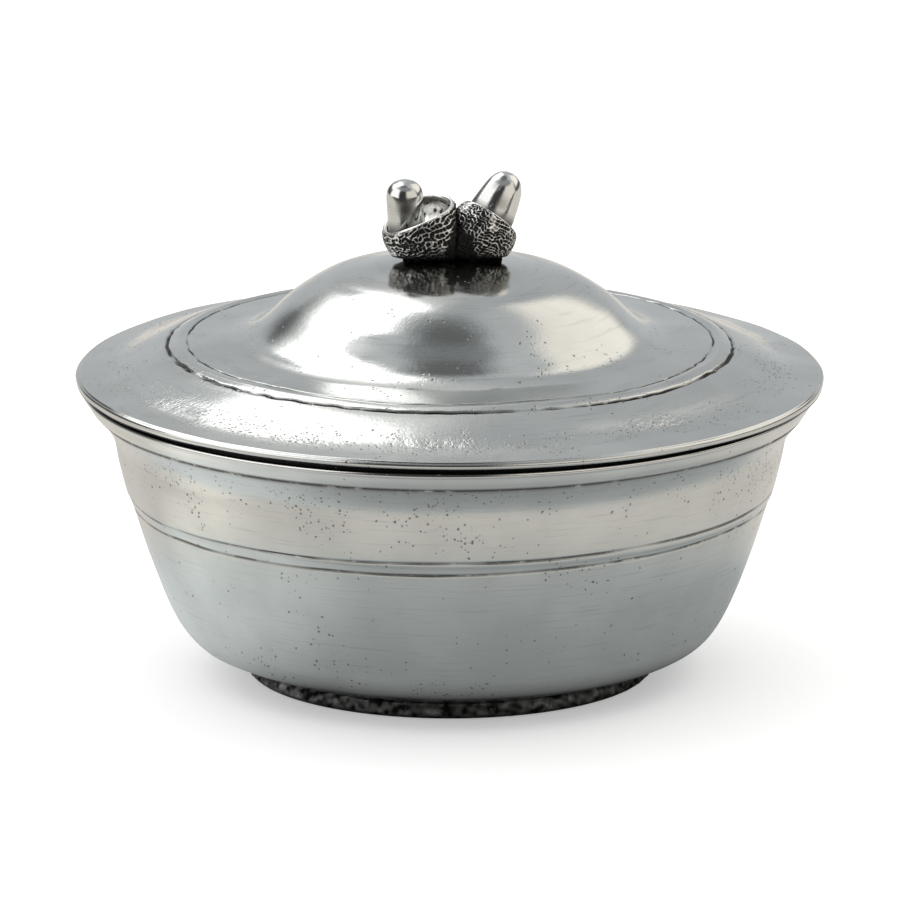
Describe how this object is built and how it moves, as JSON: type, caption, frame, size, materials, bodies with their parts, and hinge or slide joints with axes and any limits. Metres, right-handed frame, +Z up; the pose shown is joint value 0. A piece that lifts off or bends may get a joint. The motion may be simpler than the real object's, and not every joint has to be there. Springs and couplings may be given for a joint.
{
  "type": "sugar bowl",
  "caption": "Round flared metal bowl on a ring foot, with a domed lift-off lid carrying a finial shaped as a pair of acorns.",
  "frame": {"origin": "centre of the foot ring's underside, on the surface the bowl stands on", "axes": "+Z up along the bowl's axis, the way the lid lifts; X runs along the pair of acorns, left acorn towards -X; -Y is the front"},
  "size_m": [0.125, 0.125, 0.0844],
  "materials": {
    "pewter": "satin",
    "bright_pewter": "gloss",
    "cup_pewter": "satin",
    "dark_pewter": "matte"
  },
  "bodies": {
    "bowl": {"bowl_shell": "pewter", "rim_band": "bright_pewter", "foot_ring": "dark_pewter"},
    "lid": {"lid_shell": "pewter", "lid_bezel": "pewter", "finial_base": "dark_pewter", "left_acorn_cup": "cup_pewter", "left_acorn_nut": "bright_pewter", "right_acorn_cup": "cup_pewter", "right_acorn_nut": "bright_pewter"}
  },
  "joints": [
    {"name": "lid_lift", "type": "slide", "parent": "bowl", "child": "lid", "axis": [0, 0, 1], "range_m": [0, 0.1]}
  ]
}
